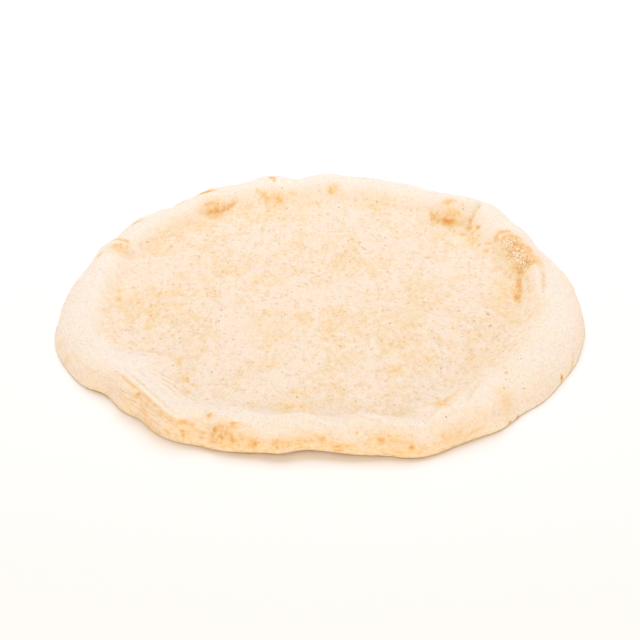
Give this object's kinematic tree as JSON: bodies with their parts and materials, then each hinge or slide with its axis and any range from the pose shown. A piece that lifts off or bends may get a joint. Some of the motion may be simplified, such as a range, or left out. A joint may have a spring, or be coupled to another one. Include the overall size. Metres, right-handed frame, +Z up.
{
  "type": "pizza base",
  "caption": "Pale, floured round of dough for a pizza, thin in the middle, with a puffed and finger-pinched rim that holds the toppings in.",
  "frame": {"origin": "on the table, under the middle of the bounding box", "axes": "+Z up out of the dish, +X to the right and +Y to the back, as the base lies in the picture"},
  "size_m": [0.3008, 0.297, 0.0184],
  "materials": {
    "dough": "dry, matt, half-baked dough dusted with flour, pale cream with honey-coloured toasted spots"
  },
  "bodies": {
    "root": {"pizza_base": "dough"}
  },
  "joints": []
}
